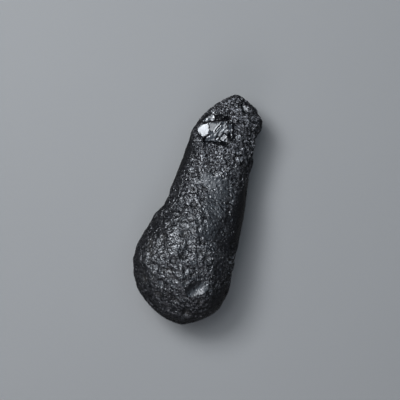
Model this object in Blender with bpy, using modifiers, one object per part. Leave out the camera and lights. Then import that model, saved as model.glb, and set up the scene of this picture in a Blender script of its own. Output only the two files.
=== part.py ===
"""A teardrop tektite: one lump of black natural glass, lying on its side.

Run it with blender --background --python part.py, or from Blender's text editor.

The stone's frame is in metres. +Y runs along the stone from the fat end to the narrow, broken end, +Z is
up, and the origin is on the resting surface, under the middle of the stone's bounding box.
"""

import math
import random

import bmesh
import bpy
from mathutils import Euler, Matrix, Vector, noise

MM = 0.001

# Driving sizes of the cage that the stone is smoothed from, one row a ring, from the narrow end to the fat
# end, in mm: place along the stone, left edge, right edge, crest and underside.
STATIONS = (
    (32.7, 1.8, 1.8, 9.6, 9.6),
    (31.7, 0.0, 3.5, 13.4, 5.4),
    (29.4, -2.9, 9.0, 15.6, 2.8),
    (26.2, -5.2, 10.9, 16.9, 1.3),
    (21.8, -7.9, 9.2, 17.4, 0.6),
    (17.0, -8.4, 10.5, 17.7, 0.3),
    (11.5, -7.8, 10.7, 18.1, 0.1),
    (6.0, -9.3, 11.7, 18.8, -0.1),
    (0.5, -9.3, 12.3, 19.9, -0.5),
    (-5.5, -11.4, 12.8, 21.6, -0.7),
    (-11.5, -13.1, 13.4, 23.0, -0.8),
    (-17.5, -14.6, 13.7, 23.5, -0.7),
    (-22.8, -12.7, 14.0, 22.6, -0.1),
    (-27.4, -9.9, 11.9, 19.8, 1.8),
    (-31.0, -3.8, 6.7, 15.6, 5.4),
    (-32.8, 1.9, 1.9, 10.4, 10.4),
)
CAGE_SIDES = 16
CAGE_LEVELS = 4
WIDEST = 0.47  # how far up the section the stone is widest, as a share of its height
FULLNESS = 0.84  # of the section: 1 is an ellipse, and less is a fuller, squarer round

# Broad waves in the skin: how far apart they are and how high, in mm.
WAVES = ((11.0, 0.40), (4.2, 0.16), (1.9, 0.07))

# Round pits eaten into the skin.
PIT_SEED = 17
PIT_COUNT = 240
PIT_RADIUS = (1.0, 2.0)  # mm
PIT_DEPTH_SHARE = (0.20, 0.34)  # of the pit's radius

# Smooth patches, where the skin has no pits: centre and reach, in mm.
SMOOTH_PATCHES = (
    ((4.0, 7.0, 18.5), 5.0),
    ((1.2, -5.0, 21.5), 3.8),
    ((10.5, -1.0, 12.0), 6.5),
    ((9.5, -23.5, 16.0), 5.0),
    ((-8.6, 9.5, 10.0), 5.6),
    ((-2.0, 12.0, 1.0), 6.0),
    ((3.0, -14.0, 0.0), 8.0),
)

# Hollows that stand out one by one: centre, radius, depth in mm.
GOUGES = (
    ((4.7, -18.6, 22.4), 4.2, 1.0),
    ((3.4, 6.6, 18.6), 6.4, 0.4),
    ((6.4, 9.8, 16.8), 2.6, 0.6),
    ((11.0, -7.8, 15.0), 1.8, 0.9),
    ((12.9, -11.4, 11.0), 1.7, 1.1),
    ((11.9, -13.4, 14.4), 2.0, 1.1),
    ((13.4, -15.9, 10.8), 1.7, 1.0),
    ((13.2, -18.4, 12.2), 1.9, 0.9),
    ((12.0, -23.4, 11.0), 1.8, 0.6),
    ((-10.2, -1.3, 9.5), 3.7, 1.0),
    ((-8.6, 17.0, 9.0), 2.4, 0.5),
    ((10.0, 21.9, 9.0), 3.0, 1.0),
    ((10.2, 18.2, 7.5), 1.7, 0.5),
    ((-5.2, 28.4, 9.0), 2.0, 0.6),
    ((-9.6, -14.2, 17.5), 2.2, 0.8),
    ((-6.4, -13.6, 20.6), 2.4, 0.8),
    ((-0.4, -12.8, 22.6), 2.2, 0.7),
    ((-8.6, -20.4, 17.4), 2.8, 0.8),
    ((-4.6, -26.2, 16.8), 2.5, 0.7),
    ((-12.6, -22.0, 9.0), 2.3, 0.6),
    ((1.6, -30.6, 13.0), 2.4, 0.6),
    ((-5.6, 8.4, 2.4), 3.4, 0.8),
    ((9.5, -3.5, 2.6), 4.4, 0.8),
    ((-10.5, -12.5, 4.2), 4.2, 0.9),
    ((6.0, 24.0, 2.6), 3.4, 0.8),
    ((3.4, -28.4, 4.4), 3.2, 0.8),
)

# Scoops of the fresh break at the narrow end, in mm and degrees: a point on the scoop's floor, how far the
# floor leans there (about X, then about Y), the floor's radius of curvature, and the steps that end it. A
# step is a bearing from +X towards +Y, and how far off the floor's point it stands.
FLAKES = {
    "glint": ((-5.0, 20.6, 13.7), (-8, -15), 14.0, ((111, 2.1), (-72, 2.2))),
    "hollow": ((-1.5, 22.0, 14.5), (8, -8), 6.0, ((111, 1.7), (15, 2.8))),
    "lower_wall": ((-0.9, 19.3, 15.5), (-30, 8), 5.0, ((-84, 1.6), (12, 1.9))),
    "lower_notch": ((-2.4, 17.2, 15.9), (0, -15), 1.7, ()),
    "shoulder": ((-4.0, 25.6, 13.4), (-14, -20), 9.0, ()),
    "tip": ((4.8, 30.4, 12.9), (-46, 16), 8.0, ()),
}

FINE_SCOOP = 5.0  # mm; a ball under this radius has fewer faces

TRIANGLES = 8600  # of the skin, before the break and the resting face are cut
REST_BLOCK = (0.06, 0.10, 0.02)

GLASS_BLACK = (0.012, 0.012, 0.014, 1.0)
GLASS_ROUGHNESS = 0.36


def clear_scene():
    for obj in list(bpy.data.objects):
        bpy.data.objects.remove(obj)


def new_collection(name):
    collection = bpy.data.collections.new(name)
    bpy.context.scene.collection.children.link(collection)
    return collection


def glass_material():
    material = bpy.data.materials.new("black_natural_glass")
    material.use_nodes = True
    shader = material.node_tree.nodes["Principled BSDF"]
    shader.inputs["Base Color"].default_value = GLASS_BLACK
    shader.inputs["Roughness"].default_value = GLASS_ROUGHNESS
    shader.inputs["Metallic"].default_value = 0.0
    return material


def fuller(share):
    """A sine or cosine pushed out, so that what it draws is squarer than an ellipse."""
    return math.copysign(abs(share) ** FULLNESS, share)


def section_point(station, angle):
    """A point of one ring, in metres. Its upper and lower halves have their own heights."""
    along, left, right, crest, underside = station
    level = underside + WIDEST * (crest - underside)
    rise = crest - level if math.sin(angle) > 0 else level - underside
    across = (left + right) / 2 + (right - left) / 2 * fuller(math.cos(angle))
    return Vector((across, along, level + rise * fuller(math.sin(angle)))) * MM


def smooth_body():
    """The stone before weathering: a sphere whose rings are set to the stations, subdivided smooth."""
    last = len(STATIONS) - 1
    cage = bmesh.new()
    poles_along_y = Matrix.Rotation(math.radians(-90), 4, "X")
    bmesh.ops.create_uvsphere(
        cage, u_segments=CAGE_SIDES, v_segments=last, radius=1.0, matrix=poles_along_y
    )
    for vert in cage.verts:
        ring = round(math.acos(max(-1.0, min(1.0, vert.co.y))) / math.pi * last)
        vert.co = section_point(STATIONS[ring], math.atan2(vert.co.z, vert.co.x))
    mesh = bpy.data.meshes.new("cage")
    cage.to_mesh(mesh)
    cage.free()
    body = bpy.data.objects.new("cage", mesh)
    bpy.context.scene.collection.objects.link(body)
    smoother = body.modifiers.new("smooth", "SUBSURF")
    smoother.levels = smoother.render_levels = CAGE_LEVELS
    smooth = bpy.data.meshes.new_from_object(
        body.evaluated_get(bpy.context.evaluated_depsgraph_get())
    )
    bpy.data.objects.remove(body)
    return smooth


def scattered_pits(mesh):
    """Pits spread evenly over the skin, as (centre, radius, depth) in mm, with none in a smooth patch."""
    draw = random.Random(PIT_SEED)
    areas = [face.area for face in mesh.polygons]
    pits = []
    while len(pits) < PIT_COUNT:
        centre = draw.choices(mesh.polygons, weights=areas)[0].center / MM
        radius = draw.uniform(*PIT_RADIUS)
        depth = radius * draw.uniform(*PIT_DEPTH_SHARE)
        if all((centre - Vector(at)).length > reach for at, reach in SMOOTH_PATCHES):
            pits.append((centre, radius, depth))
    return pits


def wave_height(place):
    """Height of the skin's broad waves at a place, in mm."""
    return sum(high * noise.noise(place / apart) for apart, high in WAVES)


def hollow_depth(place, hollows):
    """How far the deepest hollow sinks the skin at a place, in mm: a round bowl with a crisp rim."""
    deepest = 0.0
    for centre, radius, depth in hollows:
        gap = (place - centre).length / radius
        if gap < 1:
            deepest = max(deepest, depth * (1 - gap * gap))
    return deepest


def weather(mesh):
    """Moves each point of the skin along its normal: out with the waves, in with the pits."""
    gouges = [(Vector(centre), radius, depth) for centre, radius, depth in GOUGES]
    hollows = scattered_pits(mesh) + gouges
    skin = bmesh.new()
    skin.from_mesh(mesh)
    skin.normal_update()
    moves = [
        (wave_height(vert.co / MM) - hollow_depth(vert.co / MM, hollows)) * MM * vert.normal
        for vert in skin.verts
    ]
    for vert, move in zip(skin.verts, moves):
        vert.co += move
    skin.to_mesh(mesh)
    skin.free()


def cutter(name, mesh, collection, matrix):
    obj = bpy.data.objects.new(name, mesh)
    obj.matrix_world = matrix
    obj.hide_render = True
    obj.display_type = "WIRE"
    collection.objects.link(obj)
    return obj


def scoop_mesh(name, radius, steps):
    """A ball that stands on the origin, cut off flat at each step."""
    ball = bmesh.new()
    fineness = 3 if radius < FINE_SCOOP * MM else 4
    stand = Matrix.Translation((0, 0, radius))
    bmesh.ops.create_icosphere(ball, subdivisions=fineness, radius=radius, matrix=stand)
    for bearing, away in steps:
        outward = Vector((math.cos(math.radians(bearing)), math.sin(math.radians(bearing)), 0))
        everything = ball.verts[:] + ball.edges[:] + ball.faces[:]
        sliced = bmesh.ops.bisect_plane(
            ball, geom=everything, plane_co=outward * away * MM, plane_no=outward, clear_outer=True
        )
        rim = [part for part in sliced["geom_cut"] if isinstance(part, bmesh.types.BMEdge)]
        bmesh.ops.edgeloop_fill(ball, edges=rim)
    mesh = bpy.data.meshes.new(name)
    ball.to_mesh(mesh)
    ball.free()
    return mesh


def flake_cutters(collection):
    """One cutter for each scoop of the break."""
    made = []
    for name, (floor, leans, radius, steps) in FLAKES.items():
        lean = Euler((math.radians(leans[0]), math.radians(leans[1]), 0)).to_matrix().to_4x4()
        mesh = scoop_mesh("flake_" + name, radius * MM, steps)
        place = Matrix.Translation(Vector(floor) * MM) @ lean
        made.append(cutter("flake_" + name, mesh, collection, place))
    return made


def rest_cutter(collection):
    """A block under the stone, whose top is the resting surface."""
    block = bmesh.new()
    bmesh.ops.create_cube(block, size=1.0, matrix=Matrix.Diagonal((*REST_BLOCK, 1)))
    mesh = bpy.data.meshes.new("rest_block")
    block.to_mesh(mesh)
    block.free()
    return cutter("rest_block", mesh, collection, Matrix.Translation((0, 0, -REST_BLOCK[2] / 2)))


def cut(obj, tool):
    boolean = obj.modifiers.new(tool.name, "BOOLEAN")
    boolean.operation = "DIFFERENCE"
    boolean.object = tool
    return boolean


def triangle_count(obj):
    """Triangles of the object with its modifiers so far."""
    evaluated = obj.evaluated_get(bpy.context.evaluated_depsgraph_get())
    mesh = evaluated.to_mesh()
    count = len(mesh.loop_triangles)
    evaluated.to_mesh_clear()
    return count


def main():
    clear_scene()
    parts = new_collection("tektite_parts")
    cutters = new_collection("cutters")
    cutters.hide_render = True

    mesh = smooth_body()
    weather(mesh)
    mesh.name = "tektite"
    mesh.materials.append(glass_material())
    mesh.shade_smooth()
    stone = bpy.data.objects.new("tektite", mesh)
    parts.objects.link(stone)
    thinner = stone.modifiers.new("fewer_triangles", "DECIMATE")
    thinner.use_collapse_triangulate = True
    thinner.ratio = TRIANGLES / triangle_count(stone)
    for tool in flake_cutters(cutters):
        cut(stone, tool)
    cut(stone, rest_cutter(cutters))


main()
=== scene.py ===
"""A teardrop tektite lying on a pale floor: pitted black natural glass, freshly chipped by its narrow end.

The stone's frame is the model's own, in metres: +Y runs along the stone to its narrow end and +Z is up.
Run it with blender --background --python scene.py, or from Blender's text editor.
"""

import math
from collections import namedtuple

import bpy
from mathutils import Matrix, Vector


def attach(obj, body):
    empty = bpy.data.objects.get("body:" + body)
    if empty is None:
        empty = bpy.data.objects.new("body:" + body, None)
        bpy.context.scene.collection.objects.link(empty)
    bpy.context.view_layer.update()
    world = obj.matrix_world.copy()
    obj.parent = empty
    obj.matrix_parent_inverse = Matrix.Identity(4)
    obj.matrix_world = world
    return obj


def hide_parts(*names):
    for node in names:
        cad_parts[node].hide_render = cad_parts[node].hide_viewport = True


bl_info = {
    "name": "Teardrop Tektite",
    "version": (1, 0, 0),
    "blender": (4, 5, 0),
    "location": "View3D > Sidebar > Tektite",
    "description": "Weathers, chips and stages a teardrop lump of black natural glass",
    "category": "Object",
}

MM = 0.001
MOST_TRIANGLES = 192000
MERGE_DISTANCE = 0.000001  # m; the solid's points closer than this are one
SMOOTH_FACTOR = 0.5
SOFTENING_ROUNDS = 6
RUBBING_ROUNDS = 220
OVERHEAD = 60.0  # mm; a height well over the stone, from which its top is looked for

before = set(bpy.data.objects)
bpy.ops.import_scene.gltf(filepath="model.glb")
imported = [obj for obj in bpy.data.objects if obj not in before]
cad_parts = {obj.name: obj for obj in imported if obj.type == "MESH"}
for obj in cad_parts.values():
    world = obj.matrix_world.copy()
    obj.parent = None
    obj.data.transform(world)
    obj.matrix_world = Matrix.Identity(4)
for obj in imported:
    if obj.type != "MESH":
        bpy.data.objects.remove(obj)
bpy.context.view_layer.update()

# The band of soft sheen, where the solid's own pits are rubbed out: each part's centre and reach, in mm.
SHEEN = (((3.4, 6.0, 18.0), 4.6), ((3.8, 0.8, 19.4), 4.8), ((4.8, -4.4, 20.8), 4.6))

# Patches where the skin is worn smooth and the pits die out: centre and reach, in mm. The rim is where a
# patch fades out, as shares of its reach, and PITS_LEFT the share of the pits' depth left inside it.
PATCH_RIM = (0.6, 1.2)
PITS_LEFT = 0.12
SMOOTH_PATCHES = (
    ((0.2, 7.4, 18.0), 2.4),
    ((3.6, 6.2, 18.2), 3.9),
    ((3.6, 1.2, 19.4), 4.0),
    ((4.6, -4.6, 21.0), 4.2),
    ((10.6, 5.6, 13.0), 4.4),
    ((10.4, 0.0, 13.5), 7.0),
    ((9.4, -8.0, 16.0), 4.6),
    ((8.4, -15.0, 18.0), 3.6),
    ((6.4, -20.4, 20.2), 2.4),
    ((-8.0, 15.5, 10.5), 4.2),
    ((10.8, -21.5, 15.0), 5.4),
    ((-9.0, 10.0, 10.0), 6.2),
)

# The fresh break, which has no pits at all: centre and reach, in mm.
BREAK = ((-3.0, 22.2, 14.4), 4.2)
BREAK_RIM = (0.85, 1.0)

# The crumbled glass round the narrow end, whose pale grains are partly painted light: centre and reach, in
# mm.
CRUMBLED = ((2.4, 22.5, 15.0), 10.0)
CRUMBLED_RIM = (0.8, 1.2)

# Hollows that stand out one by one: where, seen from above or with its height too, radius and depth, in mm.
HOLLOWS = (
    ((11.2, -7.7), 1.7, 1.2),
    ((11.9, -11.8), 1.7, 1.3),
    ((12.0, -14.0), 1.7, 1.2),
    ((12.7, -17.6), 1.8, 1.3),
    ((12.9, -20.0), 1.3, 0.7),
    ((13.0, -10.0, 12.5), 1.6, 1.0),
    ((13.2, -10.2, 9.5), 1.7, 1.1),
    ((13.0, -10.2, 6.6), 1.7, 1.0),
    ((13.5, -15.9, 11.5), 1.6, 1.0),
    ((13.6, -15.9, 8.8), 1.7, 1.0),
    ((13.2, -15.9, 6.0), 1.6, 0.9),
    ((-10.6, -9.0), 1.5, 0.5),
    ((-9.2, -15.2), 1.6, 0.5),
    ((-7.4, -18.6), 1.6, 0.5),
    ((-4.4, -18.2), 1.5, 0.5),
    ((-3.0, -15.4), 1.3, 0.5),
    ((-0.8, -13.6), 1.3, 0.4),
    ((0.6, -11.2), 1.2, 0.4),
    ((3.4, -11.6), 1.3, 0.5),
    ((5.6, -12.4), 1.2, 0.5),
    ((-1.6, -20.2), 1.5, 0.5),
    ((1.0, -16.6), 1.2, 0.5),
    ((-8.8, -22.6), 1.4, 0.4),
    ((-4.4, -25.4), 1.5, 0.5),
    ((0.2, -25.6), 1.4, 0.4),
    ((4.4, -28.2), 1.5, 0.5),
    ((-1.2, 13.6), 1.3, 0.4),
    ((0.8, 10.2), 1.2, 0.3),
    ((-3.8, 3.6), 1.5, 0.4),
    ((-1.6, 0.2), 1.4, 0.4),
    ((-4.6, -1.6), 1.3, 0.4),
)

# A pass of weathering. pits are its layers of pits: how far apart, in mm, the share of places with a pit,
# how deep, in mm, and how wide, from and to, as shares of the spacing. grain is a low unevenness, by its
# height, in mm, and how often it turns in a mm. splinters are by their width, in mm, and how steep they
# lean. swell is how far the skin first grows, in mm, so that the pits leave the stone as big as it was.
Weather = namedtuple("Weather", "pits grain splinters swell")
COARSE = Weather(
    pits=((3.2, 0.60, 0.56, (0.28, 0.52)), (2.1, 0.66, 0.40, (0.28, 0.54))),
    grain=(0.10, 0.5),
    splinters=(1.5, 0.34),
    swell=0.27,
)
FINE = Weather(
    pits=((1.5, 0.85, 0.24, (0.30, 0.60)), (1.0, 0.90, 0.17, (0.34, 0.66))),
    grain=(0.07, 1.3),
    splinters=(0.65, 0.38),
    swell=0.09,
)
STRAY = 0.9  # mm; outlines stray from true by up to half of this
LAYER_SHIFT = (31.7, 17.3)  # mm; how far each layer of pits is moved from the one before
LAYER_LIFT = 5.1  # mm; how far up every layer of pits is moved
PATCHY = (0.36, 0.58, 0.55, 1.15)  # the noise from and to, and the share of pits there, from and to
SHALLOWEST = 0.45  # the shallowest pit's depth, as a share of its layer's
KEPT = ("pit_depth", "pitted", "crumbled")  # what the weathering keeps on the skin for its material

# A flake struck off the stone. at is where, in mm, and depth how deep its floor lies under the skin, in mm.
# The floor tilts by tilt degrees towards bearing. Bearings go from +X towards +Y. sides are the steps round
# it, each a bearing, how far off, in mm, and how steep. bowl is its radii of curvature across and along the
# first step, in mm. ripples are uneven rings round the point struck, by their height and length, in mm, and
# hackles are uneven rays from it, by their height, in mm, and number. struck is from at. splinters are the
# facets that the floor breaks up into, by their width, in mm, and how steep they lean.
Flake = namedtuple("Flake", "at depth tilt bearing sides bowl ripples hackles struck splinters")
NO_STREAKS = (0.0, 1.0)
NO_SPLINTERS = (1.0, 0.0)
FLAKE_FACE = 0.14  # mm; width of one face of a flake's floor
FLAKE_MARGIN = 1.0  # mm; how far a flake's block goes on beyond its farthest step
FLAKE_BLOCK = 8  # mm; how far the block goes up from its floor
OLD, FRESH, HAZY = 0, 1, 2  # the stone's material slots
FLAKE_SLOTS = {"crescent": OLD, "glint": HAZY}  # any other flake is fresh

# The flakes, in the order they cut: those of the break, with one dish on the belly and one at the tip.
FLAKES = {
    "hollow": Flake(
        (-1.2, 21.2), 0.35, 1, -30,
        ((109, 2.7, 1.3), (15, 2.7, 6.0), (-76, 2.7, 2.2), (195, 3.2, 1.0)),
        (50, 50), (0.02, 0.9), (0.20, 60), (7.9, 9.1), (1.3, 0.06),
    ),
    "bench": Flake(
        (2.0, 22.2), 0.95, 3, -30,
        ((109, 1.7, 1.0), (15, 0.6, 1.4), (-75, 2.0, 0.9), (195, 1.6, 1.0)),
        (50, 50), (0.02, 0.9), (0.20, 60), (7.9, 9.1), (0.8, 0.14),
    ),
    "shoulder": Flake(
        (-4.3, 24.4), 0.10, 3, 150,
        ((100, 2.0, 0.5), (30, 1.2, 0.4), (-70, 1.0, 0.8), (165, 2.4, 0.4)),
        (30, 30), (0.02, 0.8), (0.12, 18), (-2.2, -2.6), (1.2, 0.09),
    ),
    "brow_ray": Flake(
        (-3.5, 26.0), 0.12, 15, 155,
        ((64, 0.6, 2.0), (-26, 0.18, 2.5), (-116, 0.6, 2.0), (154, 0.3, 2.5)),
        (60, 60), NO_STREAKS, NO_STREAKS, (1, 1), NO_SPLINTERS,
    ),
    "grey": Flake(
        (-2.6, 22.4), 0.22, 3.2, 153,
        ((107, 0.95, 2.0), (-23, 1.0, 1.6), (-133, 1.5, 1.2), (-95, 1.6, 1.0)),
        (60, 60), NO_STREAKS, (0.05, 30), (0.4, -1.9), NO_SPLINTERS,
    ),
    "right_ray": Flake(
        (-1.2, 22.25), 0.40, 15, 155,
        ((66, 1.1, 2.0), (-24, 0.17, 2.5), (-114, 1.1, 2.0), (156, 0.17, 2.5)),
        (60, 60), NO_STREAKS, NO_STREAKS, (1, 1), NO_SPLINTERS,
    ),
    "pale": Flake(
        (0.9, 20.0), 0.30, 7, 153,
        ((66, 1.0, 1.5), (-24, 0.5, 1.2), (-114, 1.0, 1.5), (156, 0.6, 1.5)),
        (40, 40), NO_STREAKS, (0.08, 30), (-0.8, -2.4), (0.6, 0.06),
    ),
    "low_ray": Flake(
        (-0.7, 19.35), 0.42, 15, 155,
        ((66, 0.6, 2.0), (-24, 0.2, 2.5), (-114, 0.6, 2.0), (156, 0.2, 2.5)),
        (60, 60), NO_STREAKS, NO_STREAKS, (1, 1), NO_SPLINTERS,
    ),
    "left_ray": Flake(
        (-3.2, 19.1), 0.30, 12, 153,
        ((66, 0.7, 2.0), (-24, 0.22, 2.5), (-114, 0.7, 2.0), (156, 0.25, 2.5)),
        (60, 60), NO_STREAKS, NO_STREAKS, (1, 1), (0.5, 0.1),
    ),
    "crescent": Flake(
        (5.5, -20.1), 0.36, 10, -38,
        ((50, 4.0, 0.2), (-130, 4.0, 0.2)),
        (3.2, 12), (0.11, 0.7), NO_STREAKS, (-3, 0), NO_SPLINTERS,
    ),
    "tip": Flake(
        (4.4, 29.7), 0.08, 7, 150,
        ((-30, 0.7, 4.0), (100, 0.5, 4.0), (215, 0.8, 4.0)),
        (60, 60), NO_STREAKS, (0.05, 18), (-2, -2), (0.9, 0.05),
    ),
    "glint": Flake(
        (-5.1, 20.7), 0.36, 17, 151,
        (
            (118, 1.43, 2.5), (45, 1.80, 2.5), (-9, 1.60, 2.5),
            (-49, 1.82, 2.5), (-110, 1.66, 2.5), (202, 1.68, 2.5), (153, 1.34, 2.5),
        ),
        (60, 60), NO_STREAKS, NO_STREAKS, (1, 1), NO_SPLINTERS,
    ),
}

# Where the glass is crumbly, in metres: along the neck, with its share from and to, and on the right edge,
# across the stone and along it. Their pale grains are partly painted light; on the right edge they are a
# painted highlight for the light caught by the rims of the hollows.
NECK = (-0.004, 0.012, 0.20, 0.44)
RIGHT_EDGE = (0.0098, 0.0116)
RIGHT_EDGE_END = (-0.004, -0.008)

# Glass. Distances and heights are in metres. Micro pits are by how far apart they are, where their pattern
# starts, and how high they stand. Shards are by their width and how steep they lean.
GLASS_IOR = 1.51
MICRO_PITS = ((0.00100, 0.0, 0.00020), (0.00064, 0.1, 0.00009))
MICRO_SHARDS = (0.00075, 0.42)
CRUMB_GLOSS = 0.15
FRESH_GLASSES = {"fresh_black_glass": (0.07, 0.20), "hazy_black_glass": (0.26, 0.32)}

# The lights: towards where each hangs, how far away and how wide, in metres, and its colour.
Light = namedtuple("Light", "toward away width colour")
LIGHTS = {
    "window": Light((-0.383, 0.212, 0.90), 0.46, 0.30, (0.93, 0.96, 1.0)),
    "pane": Light((-0.489, 0.272, 0.828), 0.44, 0.14, (0.87, 0.92, 1.0)),
    "sky": Light((0.02, 0.16, 0.985), 0.60, 0.60, (0.66, 0.82, 1.0)),
    "fill": Light((0.05, -0.76, 0.65), 0.50, 0.25, (0.90, 0.90, 1.0)),
}
AIM = Vector((0, 0, 0.012))
AIR_COLOUR = (0.92, 0.95, 1.0, 1.0)
AIR_STRENGTH = 0.05

# The camera, in metres except for its sensor, in mm.
SENSOR_WIDTH = 36.0
WIDEST_LEVEL = 0.011
CAMERA_OVER = (-0.0006, 0.0019)
NEAREST_SEEN = 0.01


class StoneSizes(bpy.types.PropertyGroup):
    """How fine the stone's surface is modelled, and how deep it is weathered."""

    mesh_size: bpy.props.FloatProperty(
        name="Mesh Size",
        description="Width of one face of the weathered skin",
        default=0.00022,
        min=0.0001,
        precision=5,
        unit="LENGTH",
        subtype="DISTANCE",
    )
    coarse_depth: bpy.props.FloatProperty(
        name="Coarse Pits",
        description="How deep the coarse pits are, as a share of their usual depth",
        default=1.0,
        min=0.0,
        subtype="FACTOR",
    )
    fine_depth: bpy.props.FloatProperty(
        name="Fine Pits",
        description="How deep the fine pits are, as a share of their usual depth",
        default=1.0,
        min=0.0,
        subtype="FACTOR",
    )
    crisp_angle: bpy.props.FloatProperty(
        name="Crisp Angle",
        description="Edges sharper than this are drawn as edges",
        default=math.radians(42),
        unit="ROTATION",
        subtype="ANGLE",
    )


class StoneColours(bpy.types.PropertyGroup):
    """The stone's glass."""

    glass: bpy.props.FloatVectorProperty(
        name="Glass",
        description="Colour of the clean black glass",
        default=(0.0034, 0.0035, 0.0042),
        size=3,
        min=0.0,
        max=1.0,
        subtype="COLOR",
    )
    dust: bpy.props.FloatVectorProperty(
        name="Dust",
        description="Colour of the dull film left in the pits",
        default=(0.013, 0.012, 0.011),
        size=3,
        min=0.0,
        max=1.0,
        subtype="COLOR",
    )
    # Partly the colour of crumbled glass, partly painted light: it lightens the narrow end and the neck, and
    # on the right edge it is a painted highlight for the light caught by the rims of the hollows.
    crumbs_and_painted_light: bpy.props.FloatVectorProperty(
        name="Crumbs",
        description="Colour of the crumbled grains of glass, thickest round the narrow end",
        default=(0.190, 0.190, 0.200),
        size=3,
        min=0.0,
        max=1.0,
        subtype="COLOR",
    )


class StageSizes(bpy.types.PropertyGroup):
    """The floor, the lights and the camera."""

    floor_width: bpy.props.FloatProperty(
        name="Floor Width",
        description="Width of the square floor",
        default=3.0,
        unit="LENGTH",
        subtype="DISTANCE",
    )
    floor_colour: bpy.props.FloatVectorProperty(
        name="Floor Colour",
        description="Colour of the floor",
        default=(0.155, 0.154, 0.150),
        size=3,
        min=0.0,
        max=1.0,
        subtype="COLOR",
    )
    camera_height: bpy.props.FloatProperty(
        name="Camera Height",
        description="Height of the camera over the floor",
        default=0.311,
        unit="LENGTH",
        subtype="DISTANCE",
    )
    view_width: bpy.props.FloatProperty(
        name="View Width",
        description="Width of the view at the stone's widest level",
        default=0.1104,
        unit="LENGTH",
        subtype="DISTANCE",
    )
    lean: bpy.props.FloatProperty(
        name="Lean",
        description="How far the stone leans clockwise from upright in the view",
        default=math.radians(16),
        unit="ROTATION",
        subtype="ANGLE",
    )
    window_power: bpy.props.FloatProperty(
        name="Window Power",
        description="Power of the window light",
        default=2.0,
        min=0.0,
        unit="POWER",
    )
    pane_power: bpy.props.FloatProperty(
        name="Pane Power",
        description="Power of the brightest pane of the window",
        default=2.20,
        min=0.0,
        unit="POWER",
    )
    sky_power: bpy.props.FloatProperty(
        name="Sky Power",
        description="Power of the broad light overhead",
        default=1.75,
        min=0.0,
        unit="POWER",
    )
    fill_power: bpy.props.FloatProperty(
        name="Fill Power",
        description="Power of the weak light towards the stone's fat end",
        default=0.7,
        min=0.0,
        unit="POWER",
    )


def deselect_all():
    if bpy.context.mode != "OBJECT":
        bpy.ops.object.mode_set(mode="OBJECT")
    bpy.ops.object.select_all(action="DESELECT")


def make_active(piece):
    deselect_all()
    piece.select_set(True)
    bpy.context.view_layer.objects.active = piece


def apply_modifiers(piece):
    make_active(piece)
    for modifier in list(piece.modifiers):
        bpy.ops.object.modifier_apply(modifier=modifier.name)


# --- node helpers ---------------------------------------------------------------------------------------


def feed(tree, socket, value):
    """Links a socket to another socket, or sets it to a value."""
    if isinstance(value, bpy.types.NodeSocket):
        tree.links.new(value, socket)
    else:
        socket.default_value = value


def node(tree, kind, inputs=(), **settings):
    made = tree.nodes.new(kind)
    for name, value in settings.items():
        setattr(made, name, value)
    for name, value in dict(inputs).items():
        feed(tree, made.inputs[name], value)
    return made


def maths(tree, operation, *values, clamp=False):
    made = node(tree, "ShaderNodeMath", operation=operation, use_clamp=clamp)
    for socket, value in zip(made.inputs, values):
        feed(tree, socket, value)
    return made.outputs[0]


def vectors(tree, operation, *values, scale=None):
    made = node(tree, "ShaderNodeVectorMath", operation=operation)
    for socket, value in zip(made.inputs, values):
        feed(tree, socket, value)
    if scale is not None:
        feed(tree, made.inputs["Scale"], scale)
    return made.outputs["Value" if operation in ("DISTANCE", "LENGTH", "DOT_PRODUCT") else "Vector"]


def remap(tree, value, low, high, to_low=0.0, to_high=1.0, smooth=False):
    made = node(
        tree,
        "ShaderNodeMapRange",
        {"Value": value, "From Min": low, "From Max": high, "To Min": to_low, "To Max": to_high},
        interpolation_type="SMOOTHSTEP" if smooth else "LINEAR",
        clamp=True,
    )
    return made.outputs["Result"]


def noise(tree, place, scale, detail=2.0, rough=0.5, output="Fac"):
    made = node(
        tree, "ShaderNodeTexNoise", {"Vector": place, "Scale": scale, "Detail": detail, "Roughness": rough}
    )
    return made.outputs[output]


def cell_pattern(tree, place, apart, feature="F1"):
    """Cells about apart wide, each with its middle, the distance from it and a colour drawn at random."""
    made = node(
        tree,
        "ShaderNodeTexVoronoi",
        {"Vector": place, "Scale": 1.0 / apart, "Randomness": 1.0},
        voronoi_dimensions="3D",
        feature=feature,
    )
    return made.outputs


def shards(tree, place, apart, steep):
    """Height of a splintered surface: cells about apart wide, each a flat facet that leans its own way."""
    cells = cell_pattern(tree, place, apart)
    lean = vectors(tree, "SUBTRACT", cells["Color"], (0.5, 0.5, 0.5))
    away = vectors(tree, "SUBTRACT", place, cells["Position"])
    return maths(tree, "MULTIPLY", vectors(tree, "DOT_PRODUCT", away, lean), 2.0 * steep)


# --- weathering -----------------------------------------------------------------------------------------


def geometry_tree(name):
    tree = bpy.data.node_groups.new(name, "GeometryNodeTree")
    tree.interface.new_socket(name="Geometry", in_out="INPUT", socket_type="NodeSocketGeometry")
    tree.interface.new_socket(name="Geometry", in_out="OUTPUT", socket_type="NodeSocketGeometry")
    return tree, tree.nodes.new("NodeGroupInput"), tree.nodes.new("NodeGroupOutput")


def place_in_mm(tree):
    return vectors(tree, "SCALE", tree.nodes.new("GeometryNodeInputPosition").outputs[0], scale=1000.0)


def astray(tree, place, often):
    """The place, led a little astray, so that no outline drawn there is a true circle or line."""
    lead = vectors(tree, "SUBTRACT", noise(tree, place, often, 2.0, output="Color"), (0.5, 0.5, 0.5))
    return vectors(tree, "ADD", place, vectors(tree, "SCALE", lead, scale=STRAY))


def beyond(tree, place, patch, rim, inside=0.0, outside=1.0, smooth=False):
    """A share that goes from inside to outside over a patch's rim."""
    at, reach = patch
    away = vectors(tree, "DISTANCE", place, at)
    return remap(tree, away, reach * rim[0], reach * rim[1], inside, outside, smooth=smooth)


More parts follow.
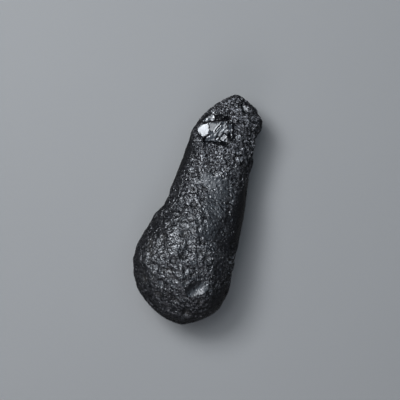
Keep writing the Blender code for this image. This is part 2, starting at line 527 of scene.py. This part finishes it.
def keep(tree, geometry, name, value):
    """Keeps a value on the skin under a name, and returns the skin."""
    kept = node(
        tree,
        "GeometryNodeStoreNamedAttribute",
        {"Geometry": geometry, "Name": name, "Value": value},
        data_type="FLOAT",
        domain="POINT",
    )
    return kept.outputs["Geometry"]


def bowl(tree, cells, cover, widths):
    """Depth of one cell's pit, from 0 at its rim to about 1: each cell draws its own width and depth."""
    draws = node(tree, "ShaderNodeSeparateXYZ", {0: cells["Color"]}).outputs
    radius = remap(tree, draws[0], 0.0, 1.0, *widths)
    out = maths(tree, "DIVIDE", cells["Distance"], radius)
    hollow = maths(tree, "SUBTRACT", 1.0, maths(tree, "MULTIPLY", out, out), clamp=True)
    depth = maths(tree, "MULTIPLY", hollow, remap(tree, draws[1], 0.0, 1.0, SHALLOWEST, 1.0))
    return maths(tree, "MULTIPLY", depth, maths(tree, "LESS_THAN", draws[2], cover))


def pit_layer(tree, place, patchy, apart, share, depth, widths):
    """Depth of a layer of pits, in mm. Where two pits meet, the deeper one counts, so a crisp ridge stays."""
    cover = maths(tree, "MULTIPLY", patchy, share)
    nearest = bowl(tree, cell_pattern(tree, place, apart, "F1"), cover, widths)
    next_one = bowl(tree, cell_pattern(tree, place, apart, "F2"), cover, widths)
    return maths(tree, "MULTIPLY", maths(tree, "MAXIMUM", nearest, next_one), depth)


def lone_hollows(tree, place, hollows):
    """Depth of the hollows that stand out one by one, in mm: a hollow is its centre, radius and depth."""
    deepest = 0.0
    for centre, radius, depth in hollows:
        out = maths(tree, "DIVIDE", vectors(tree, "DISTANCE", place, centre), radius)
        bowl_depth = maths(tree, "SUBTRACT", 1.0, maths(tree, "POWER", out, 2.0), clamp=True)
        deepest = maths(tree, "MAXIMUM", deepest, maths(tree, "MULTIPLY", bowl_depth, depth))
    return deepest


def weathering(name, weather, strength, hollows):
    """A modifier that sinks the skin by hollows, pits, splinters and a grain, and keeps on it how deep it is
    pitted (pit_depth), how far it can be pitted (pitted) and how far it is crumbled (crumbled)."""
    tree, entry, leave = geometry_tree(name)
    place = place_in_mm(tree)
    warped = astray(tree, place, 0.9)

    worn = 1.0
    for patch in SMOOTH_PATCHES:
        unworn = beyond(tree, warped, patch, PATCH_RIM, PITS_LEFT, smooth=True)
        worn = maths(tree, "MULTIPLY", worn, unworn)
    worn = maths(tree, "MULTIPLY", worn, beyond(tree, warped, BREAK, BREAK_RIM))
    crumbled = maths(tree, "MULTIPLY", beyond(tree, warped, CRUMBLED, CRUMBLED_RIM, 1.0, 0.0), worn)
    patchy = maths(tree, "MULTIPLY", remap(tree, noise(tree, place, 0.16, 1.0), *PATCHY), worn)

    depth = lone_hollows(tree, warped, hollows)
    for number, pits in enumerate(weather.pits):
        shift = (number * LAYER_SHIFT[0], number * LAYER_SHIFT[1], LAYER_LIFT)
        moved = vectors(tree, "ADD", warped, shift)
        depth = maths(tree, "ADD", depth, pit_layer(tree, moved, patchy, *pits))
    high, often = weather.grain
    ruffle = maths(tree, "MULTIPLY", maths(tree, "SUBTRACT", noise(tree, place, often), 0.5), high)
    ruffle = maths(tree, "MULTIPLY", ruffle, worn)
    sunk = maths(tree, "MULTIPLY", maths(tree, "SUBTRACT", depth, ruffle), strength)
    sunk = maths(tree, "SUBTRACT", sunk, weather.swell)
    splintered = maths(tree, "MULTIPLY", shards(tree, warped, *weather.splinters), crumbled)
    sunk = maths(tree, "SUBTRACT", sunk, splintered)

    earlier = node(tree, "GeometryNodeInputNamedAttribute", {"Name": "pit_depth"}, data_type="FLOAT")
    deeper = maths(tree, "ADD", earlier.outputs["Attribute"], depth)
    skin = keep(tree, entry.outputs[0], "pit_depth", deeper)
    skin = keep(tree, skin, "pitted", worn)
    skin = keep(tree, skin, "crumbled", crumbled)
    normal = tree.nodes.new("GeometryNodeInputNormal").outputs[0]
    here = tree.nodes.new("GeometryNodeInputPosition").outputs[0]
    inward = vectors(tree, "SCALE", normal, scale=maths(tree, "MULTIPLY", sunk, -MM))
    above_floor = vectors(tree, "MAXIMUM", vectors(tree, "ADD", here, inward), (-1.0, -1.0, 0.0))
    moved = node(tree, "GeometryNodeSetPosition", {"Geometry": skin, "Position": above_floor})
    tree.links.new(moved.outputs[0], leave.inputs[0])
    return tree


def smooth_copy_of_solid(name, face):
    """The faceted solid as one closed skin of small even faces, with its facets rounded away."""
    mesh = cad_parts["tektite"].data.copy()
    mesh.name = name
    mesh.materials.clear()
    stone = bpy.data.objects.new(name, mesh)
    bpy.context.scene.collection.objects.link(stone)
    make_active(stone)
    bpy.ops.object.mode_set(mode="EDIT")
    bpy.ops.mesh.select_all(action="SELECT")
    bpy.ops.mesh.remove_doubles(threshold=MERGE_DISTANCE)
    bpy.ops.object.mode_set(mode="OBJECT")

    rounder = stone.modifiers.new("round_facets", "SUBSURF")
    rounder.levels = rounder.render_levels = 2
    even = stone.modifiers.new("even_faces", "REMESH")
    even.mode = "VOXEL"
    even.voxel_size = face
    even.use_smooth_shade = True
    soft = stone.modifiers.new("soften", "SMOOTH")
    soft.factor = SMOOTH_FACTOR
    soft.iterations = SOFTENING_ROUNDS
    apply_modifiers(stone)
    rub_smooth(stone)
    return stone


def rub_smooth(stone):
    """Rub the solid's own pits out of the sheen, so that it takes one long soft light."""
    band = stone.vertex_groups.new(name="sheen")
    for vert in stone.data.vertices:
        place = vert.co / MM
        share = max(1.0 - (place - Vector(at)).length / reach for at, reach in SHEEN)
        if share > 0.0:
            band.add((vert.index,), min(1.0, 2.0 * share), "REPLACE")
    rubbed = stone.modifiers.new("rub_sheen", "SMOOTH")
    rubbed.vertex_group = band.name
    rubbed.factor = SMOOTH_FACTOR
    rubbed.iterations = RUBBING_ROUNDS
    apply_modifiers(stone)
    stone.vertex_groups.clear()


# --- the fresh break ------------------------------------------------------------------------------------


def flake_floor(name, flake, sides):
    """A modifier that curls a flat grid into a flake's floor: a shallow bowl with rings and rays from where
    it was struck, splinters, and steps up round it."""
    tree, entry, leave = geometry_tree(name)
    place = place_in_mm(tree)
    warped = astray(tree, place, 0.8)
    x, y, _ = node(tree, "ShaderNodeSeparateXYZ", {0: place}).outputs
    across = maths(tree, "DIVIDE", maths(tree, "MULTIPLY", x, x), 2.0 * flake.bowl[0])
    along = maths(tree, "DIVIDE", maths(tree, "MULTIPLY", y, y), 2.0 * flake.bowl[1])
    rise = maths(tree, "ADD", across, along)

    ray = vectors(tree, "SUBTRACT", warped, (*flake.struck, 0.0))
    ray_x, ray_y, _ = node(tree, "ShaderNodeSeparateXYZ", {0: ray}).outputs
    turn = maths(tree, "ARCTAN2", ray_y, ray_x)
    length = vectors(tree, "LENGTH", ray)
    ring_high, ring_length = flake.ripples
    ray_high, ray_count = flake.hackles
    for high, around, outward in (
        (ring_high, 1.5, 1.0 / ring_length),
        (ray_high, ray_count / math.pi, 0.35),
    ):
        streak_place = node(
            tree,
            "ShaderNodeCombineXYZ",
            {"X": maths(tree, "MULTIPLY", turn, around), "Y": maths(tree, "MULTIPLY", length, outward)},
        ).outputs[0]
        streaks = maths(tree, "SUBTRACT", noise(tree, streak_place, 1.0, 1.0), 0.5)
        rise = maths(tree, "ADD", rise, maths(tree, "MULTIPLY", streaks, high))
    rise = maths(tree, "ADD", rise, shards(tree, warped, *flake.splinters))
    for outward, away, steep in sides:
        past = maths(tree, "SUBTRACT", vectors(tree, "DOT_PRODUCT", warped, outward), away)
        climbed = maths(tree, "MULTIPLY", maths(tree, "MAXIMUM", past, 0.0), steep)
        rise = maths(tree, "ADD", rise, climbed)
    offset = node(tree, "ShaderNodeCombineXYZ", {"Z": rise}).outputs[0]
    offset = vectors(tree, "SCALE", offset, scale=MM)
    moved = node(tree, "GeometryNodeSetPosition", {"Geometry": entry.outputs[0], "Offset": offset})
    tree.links.new(moved.outputs[0], leave.inputs[0])
    return tree


def skin_point(stone, x, y):
    """The place on top of the stone at x and y, in mm."""
    found, place, _, _ = stone.ray_cast(Vector((x, y, OVERHEAD)) * MM, Vector((0, 0, -1)))
    if not found:
        raise RuntimeError(f"no skin over {x}, {y}")
    return place / MM


def level(bearing):
    """The level direction of a bearing, in degrees from +X towards +Y."""
    return Vector((math.cos(math.radians(bearing)), math.sin(math.radians(bearing)), 0))


def flake_tool(stone, name, flake):
    """The block of glass that a flake takes away: its floor, drawn up into a block."""
    tilt = math.radians(flake.tilt)
    normal = Vector((0, 0, 1)) * math.cos(tilt) + level(flake.bearing) * math.sin(tilt)
    ahead = level(flake.sides[0][0])
    ahead = (ahead - normal * ahead.dot(normal)).normalized()
    aside = ahead.cross(normal)
    turn = Matrix((aside, ahead, normal)).transposed()
    sides = [(turn.transposed() @ level(bearing), *shape) for bearing, *shape in flake.sides]

    width = 2 * (max(away for _, away, _ in sides) + FLAKE_MARGIN)
    deselect_all()
    bpy.ops.mesh.primitive_grid_add(
        x_subdivisions=int(width / FLAKE_FACE), y_subdivisions=int(width / FLAKE_FACE), size=width * MM
    )
    tool = bpy.context.object
    tool.name = "flake_" + name
    curl = tool.modifiers.new("floor", "NODES")
    curl.node_group = flake_floor("flake_floor_" + name, flake, sides)
    apply_modifiers(tool)
    bpy.ops.object.mode_set(mode="EDIT")
    bpy.ops.mesh.select_all(action="SELECT")
    bpy.ops.mesh.extrude_region_move(TRANSFORM_OT_translate={"value": (0.0, 0.0, FLAKE_BLOCK * MM)})
    bpy.ops.mesh.select_all(action="SELECT")
    bpy.ops.mesh.normals_make_consistent(inside=False)
    bpy.ops.object.mode_set(mode="OBJECT")

    floor = skin_point(stone, *flake.at) - normal * flake.depth
    tool.matrix_world = Matrix.Translation(floor * MM) @ turn.to_4x4()
    return tool


def strike(stone, name, flake):
    """Takes one flake off the stone."""
    tool = flake_tool(stone, name, flake)
    for material in stone.data.materials:
        tool.data.materials.append(material)
    for face in tool.data.polygons:
        face.material_index = FLAKE_SLOTS.get(name, FRESH)
    taking = stone.modifiers.new(name, "BOOLEAN")
    taking.operation = "DIFFERENCE"
    taking.solver = "MANIFOLD"
    taking.object = tool
    apply_modifiers(stone)
    bpy.data.objects.remove(tool)


def order_faces(stone):
    """The same skin with its faces in one fixed order, so that it is thinned alike every time."""
    struck = stone.data
    faces = []
    for face in struck.polygons:
        corners = list(face.vertices)
        first = corners.index(min(corners))
        faces.append((corners[first:] + corners[:first], face.material_index))
    faces.sort()
    skin = bpy.data.meshes.new(stone.name)
    skin.from_pydata([vert.co for vert in struck.vertices], [], [corners for corners, _ in faces])
    skin.polygons.foreach_set("material_index", [slot for _, slot in faces])
    for material in struck.materials:
        skin.materials.append(material)
    for name in KEPT:
        values = [0.0] * len(struck.vertices)
        struck.attributes[name].data.foreach_get("value", values)
        skin.attributes.new(name, "FLOAT", "POINT").data.foreach_set("value", values)
    stone.data = skin
    bpy.data.meshes.remove(struck)
    skin.name = stone.name


# --- glass ----------------------------------------------------------------------------------------------


def new_material(name):
    material = bpy.data.materials.new(name)
    material.use_nodes = True
    tree = material.node_tree
    place = tree.nodes.new("ShaderNodeTexCoord").outputs["Object"]
    return material, tree, tree.nodes["Principled BSDF"], place


def bump(tree, height, distance, under=None):
    made = node(tree, "ShaderNodeBump", {"Height": height, "Distance": distance, "Strength": 1.0})
    if under is not None:
        tree.links.new(under, made.inputs["Normal"])
    return made.outputs["Normal"]


def colour_mix(tree, share, first, second):
    made = tree.nodes.new("ShaderNodeMix")
    made.data_type = "RGBA"
    feed(tree, made.inputs[0], share)
    feed(tree, made.inputs[6], first)
    feed(tree, made.inputs[7], second)
    return made.outputs[2]


def attribute(tree, name):
    return node(tree, "ShaderNodeAttribute", attribute_name=name).outputs["Fac"]


def micro_pits(tree, place, apart, start):
    """Height of small round pits, from 0 at the bottom to 1 at the rim and between them."""
    cells = cell_pattern(tree, vectors(tree, "ADD", place, (start, start, start)), apart)
    draws = node(tree, "ShaderNodeSeparateColor", {0: cells["Color"]}).outputs
    radius = remap(tree, draws[0], 0.0, 1.0, 0.36, 0.66)
    out = maths(tree, "MINIMUM", maths(tree, "DIVIDE", cells["Distance"], radius), 1.0)
    return maths(tree, "MULTIPLY", out, out)


def crumbly_and_painted_light_share(tree, place, pitted):
    """How crumbly the old skin is: most round the narrow end, less on the neck, and on the right edge, where
    the pale grains are a painted highlight for the light caught by the rims of the hollows.
    """
    across, along, _ = node(tree, "ShaderNodeSeparateXYZ", {0: place}).outputs
    crumbly = maths(tree, "MAXIMUM", attribute(tree, "crumbled"), remap(tree, along, *NECK))
    # The right edge's share: painted highlight on the rims of its hollows.
    edge = maths(tree, "MULTIPLY", remap(tree, across, *RIGHT_EDGE), remap(tree, along, *RIGHT_EDGE_END))
    crumbly = maths(tree, "MAXIMUM", crumbly, edge)
    return maths(tree, "MULTIPLY", crumbly, pitted), along


def weathered_glass(colours):
    """Old skin: black glass etched satin, with glossier pits, a dull film in them, and pale grains that are
    partly crumbled glass and partly painted light.
    """
    material, tree, shader, place = new_material("weathered_black_glass")
    pitted = attribute(tree, "pitted")
    crumbly, along = crumbly_and_painted_light_share(tree, place, pitted)
    deep = remap(tree, attribute(tree, "pit_depth"), 0.12, 0.55)
    film = maths(tree, "MULTIPLY", deep, remap(tree, noise(tree, place, 260.0, 3.0), 0.42, 0.62))
    base = colour_mix(tree, film, (*colours.glass, 1), (*colours.dust, 1))
    # Pale grains, partly crumbled glass and partly painted light that lightens the narrow end, the neck and,
    # as a painted highlight, the right edge.
    crumbs_and_painted_light = remap(tree, noise(tree, place, 1400.0, 4.0, 0.75), 0.50, 0.68)
    crumbs_and_painted_light = maths(tree, "MULTIPLY", crumbs_and_painted_light, crumbly)
    feed(tree, shader.inputs["Base Color"], colour_mix(tree, crumbs_and_painted_light, base, (*colours.crumbs_and_painted_light, 1)))
    shader.inputs["IOR"].default_value = GLASS_IOR

    share = remap(tree, pitted, 0.0, 1.0, 0.3, 1.0)
    share = maths(tree, "MULTIPLY", share, remap(tree, along, -0.012, 0.0, 0.9, 1.0))
    undulation = maths(tree, "MULTIPLY", noise(tree, place, 1500.0, 2.0, 0.55), share)
    normal = bump(tree, undulation, 0.00012)
    satin = 1.0
    for apart, start, high in MICRO_PITS:
        height = micro_pits(tree, place, apart, start)
        satin = maths(tree, "MULTIPLY", satin, height)
        normal = bump(tree, maths(tree, "MULTIPLY", height, share), high, normal)
    glinting = maths(tree, "MULTIPLY", shards(tree, place, *MICRO_SHARDS), crumbly)
    normal = bump(tree, glinting, 1.0, normal)
    feed(tree, shader.inputs["Normal"], bump(tree, noise(tree, place, 3000.0), 0.00005, normal))

    broad = remap(tree, noise(tree, place, 330.0, 3.0, 0.6), 0.35, 0.65, -0.05, 0.07)
    rough = maths(tree, "ADD", broad, remap(tree, satin, 0.0, 1.0, 0.18, 0.34))
    rough = maths(tree, "SUBTRACT", rough, maths(tree, "MULTIPLY", crumbly, CRUMB_GLOSS))
    feed(tree, shader.inputs["Roughness"], rough)
    return material


def fresh_glass(name, colours, roughness):
    """Newly broken glass: clean and black."""
    material, tree, shader, place = new_material(name)
    shade = remap(tree, noise(tree, place, 500.0, 2.0), 0.35, 0.65)
    darker = tuple(part * 0.6 for part in colours.glass)
    feed(tree, shader.inputs["Base Color"], colour_mix(tree, shade, (*darker, 1), (*colours.glass, 1)))
    rough = remap(tree, noise(tree, place, 900.0, 3.0, 0.6), 0.35, 0.70, *roughness)
    feed(tree, shader.inputs["Roughness"], rough)
    shader.inputs["IOR"].default_value = GLASS_IOR
    feed(tree, shader.inputs["Normal"], bump(tree, noise(tree, place, 1500.0, 2.0), 0.000012))
    return material


def floor_finish(colour):
    """A plain pale floor with a faint mottle."""
    material, tree, shader, place = new_material("pale_floor")
    mottle = noise(tree, place, 14.0, 4.0, 0.6)
    paler = tuple(min(1.0, part * 1.05) for part in colour)
    feed(tree, shader.inputs["Base Color"], colour_mix(tree, mottle, (*colour, 1), (*paler, 1)))
    shader.inputs["Roughness"].default_value = 0.9
    shader.inputs["Specular IOR Level"].default_value = 0.2
    feed(tree, shader.inputs["Normal"], bump(tree, noise(tree, place, 900.0, 3.0), 0.00002))
    return material


# --- operators ------------------------------------------------------------------------------------------


class TEKTITE_OT_stone(bpy.types.Operator):
    """Model the stone: weather the solid's skin, then strike the fresh flakes off it"""

    bl_idname = "tektite.stone"
    bl_label = "Tektite Stone"

    def execute(self, context):
        sizes = context.scene.tektite_sizes
        colours = context.scene.tektite_colours
        stone = smooth_copy_of_solid("tektite_stone", sizes.mesh_size)
        hollows = [(at if len(at) == 3 else skin_point(stone, *at), *shape) for at, *shape in HOLLOWS]
        for name, weather, strength, lone in (
            ("coarse_pits", COARSE, sizes.coarse_depth, hollows),
            ("fine_pits", FINE, sizes.fine_depth, ()),
        ):
            pits = stone.modifiers.new(name, "NODES")
            pits.node_group = weathering(name, weather, strength, lone)
            apply_modifiers(stone)
        stone.data.materials.append(weathered_glass(colours))
        for name, roughness in FRESH_GLASSES.items():
            stone.data.materials.append(fresh_glass(name, colours, roughness))
        for name, flake in FLAKES.items():
            strike(stone, name, flake)
        order_faces(stone)
        thinner = stone.modifiers.new("fewer_faces", "DECIMATE")
        triangles = sum(len(face.vertices) - 2 for face in stone.data.polygons)
        thinner.ratio = min(1.0, MOST_TRIANGLES / triangles)
        apply_modifiers(stone)
        make_active(stone)
        bpy.ops.object.shade_smooth_by_angle(angle=sizes.crisp_angle)
        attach(stone, "root")
        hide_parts("tektite")
        return {"FINISHED"}


class TEKTITE_OT_stage(bpy.types.Operator):
    """Set up the floor, the soft light and the camera"""

    bl_idname = "tektite.stage"
    bl_label = "Stage"

    def execute(self, context):
        sizes = context.scene.tektite_stage
        self.lay_floor(sizes)
        self.hang_lights(context, sizes)
        self.set_camera(context, sizes)
        return {"FINISHED"}

    def lay_floor(self, sizes):
        deselect_all()
        bpy.ops.mesh.primitive_plane_add(size=sizes.floor_width)
        floor = bpy.context.object
        floor.name = "floor"
        floor.data.materials.append(floor_finish(sizes.floor_colour))
        floor.visible_glossy = False

    def hang_lights(self, context, sizes):
        for name, light in LIGHTS.items():
            data = bpy.data.lights.new(name, "AREA")
            data.shape = "SQUARE"
            data.size = light.width
            data.energy = getattr(sizes, name + "_power")
            data.color = light.colour
            toward = Vector(light.toward).normalized()
            lamp = bpy.data.objects.new(name, data)
            lamp.location = toward * light.away + AIM
            lamp.rotation_euler = toward.to_track_quat("Z", "Y").to_euler()
            context.scene.collection.objects.link(lamp)
        world = bpy.data.worlds.new("studio")
        world.use_nodes = True
        air = world.node_tree.nodes["Background"]
        air.inputs["Color"].default_value = AIR_COLOUR
        air.inputs["Strength"].default_value = AIR_STRENGTH
        context.scene.world = world

    def set_camera(self, context, sizes):
        data = bpy.data.cameras.new("camera")
        data.sensor_width = SENSOR_WIDTH
        data.lens = SENSOR_WIDTH * (sizes.camera_height - WIDEST_LEVEL) / sizes.view_width
        data.clip_start = NEAREST_SEEN
        camera = bpy.data.objects.new("camera", data)
        camera.location = (*CAMERA_OVER, sizes.camera_height)
        camera.rotation_euler = (0.0, 0.0, sizes.lean)
        context.scene.collection.objects.link(camera)
        context.scene.camera = camera
        context.scene.view_settings.view_transform = "Standard"


class TEKTITE_PT_panel(bpy.types.Panel):
    """Lists the tektite's sizes, colours and steps"""

    bl_idname = "TEKTITE_PT_panel"
    bl_label = "Tektite"
    bl_space_type = "VIEW_3D"
    bl_region_type = "UI"
    bl_category = "Tektite"

    def draw(self, context):
        scene = context.scene
        for title, group, operator in (
            ("Stone", scene.tektite_sizes, "tektite.stone"),
            ("Glass", scene.tektite_colours, None),
            ("Stage", scene.tektite_stage, "tektite.stage"),
        ):
            box = self.layout.box()
            box.label(text=title)
            for name in group.__annotations__:
                box.prop(group, name)
            if operator:
                box.operator(operator)


CLASSES = (StoneSizes, StoneColours, StageSizes, TEKTITE_OT_stone, TEKTITE_OT_stage, TEKTITE_PT_panel)


def register():
    for cls in CLASSES:
        bpy.utils.register_class(cls)
    bpy.types.Scene.tektite_sizes = bpy.props.PointerProperty(type=StoneSizes)
    bpy.types.Scene.tektite_colours = bpy.props.PointerProperty(type=StoneColours)
    bpy.types.Scene.tektite_stage = bpy.props.PointerProperty(type=StageSizes)


def unregister():
    del bpy.types.Scene.tektite_stage
    del bpy.types.Scene.tektite_colours
    del bpy.types.Scene.tektite_sizes
    for cls in reversed(CLASSES):
        bpy.utils.unregister_class(cls)


def main():
    register()
    bpy.ops.tektite.stone()
    bpy.ops.tektite.stage()


if __name__ == "__main__":
    main()
